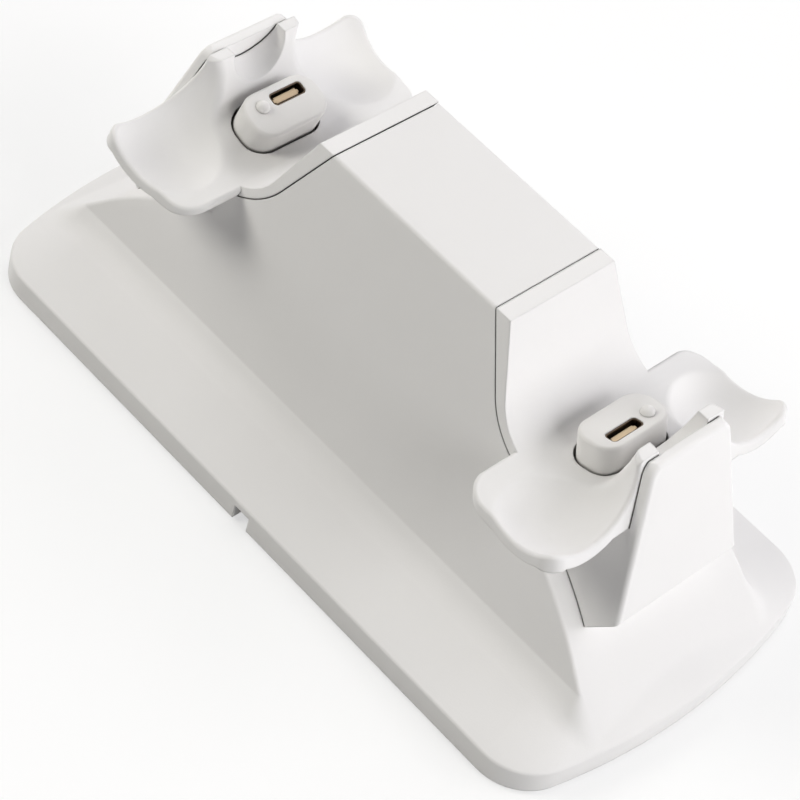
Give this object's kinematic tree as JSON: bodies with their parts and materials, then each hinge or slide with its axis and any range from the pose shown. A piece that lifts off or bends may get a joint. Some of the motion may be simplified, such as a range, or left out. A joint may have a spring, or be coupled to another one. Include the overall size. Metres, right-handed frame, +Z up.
{
  "type": "controller charging dock",
  "caption": "White desk dock with a hipped base, a leaning central tower and, at each end, a tilted cradle with dished wings, a fork and a connector for charging a game controller.",
  "frame": {"origin": "on the resting plane under the feet, at the middle of the base", "axes": "+X along the base towards one cradle, +Y away from the long side with the cable notch, +Z up"},
  "size_m": [0.199, 0.1, 0.0806],
  "materials": {
    "housing_plastic": "fine satin moulding",
    "cradle_plastic": "fine satin moulding",
    "post_plastic": "smooth, slightly glossy",
    "block_plastic": "fine satin moulding",
    "contact_plastic": "dull tan",
    "board": "lacquered",
    "steel": "plated",
    "sleeve_steel": "dark plated",
    "lead_jacket": "dull",
    "foot_rubber": "dull"
  },
  "bodies": {
    "root": {"housing": "housing_plastic", "bottom_cover": "housing_plastic", "right_cradle": "cradle_plastic", "left_cradle": "cradle_plastic", "right_post": "post_plastic", "left_post": "post_plastic", "right_connector_block": "block_plastic", "left_connector_block": "block_plastic", "right_slot_sleeve": "sleeve_steel", "left_slot_sleeve": "sleeve_steel", "right_contact_tongue": "contact_plastic", "left_contact_tongue": "contact_plastic", "right_connector_board": "board", "left_connector_board": "board", "main_board": "board", "power_socket": "steel", "cover_screws": "steel", "main_board_screws": "steel", "cradle_screws": "steel", "connector_screws": "steel", "post_screws": "steel", "right_lead": "lead_jacket", "left_lead": "lead_jacket", "front_left_foot": "foot_rubber", "front_right_foot": "foot_rubber", "rear_left_foot": "foot_rubber", "rear_right_foot": "foot_rubber"}
  },
  "joints": []
}
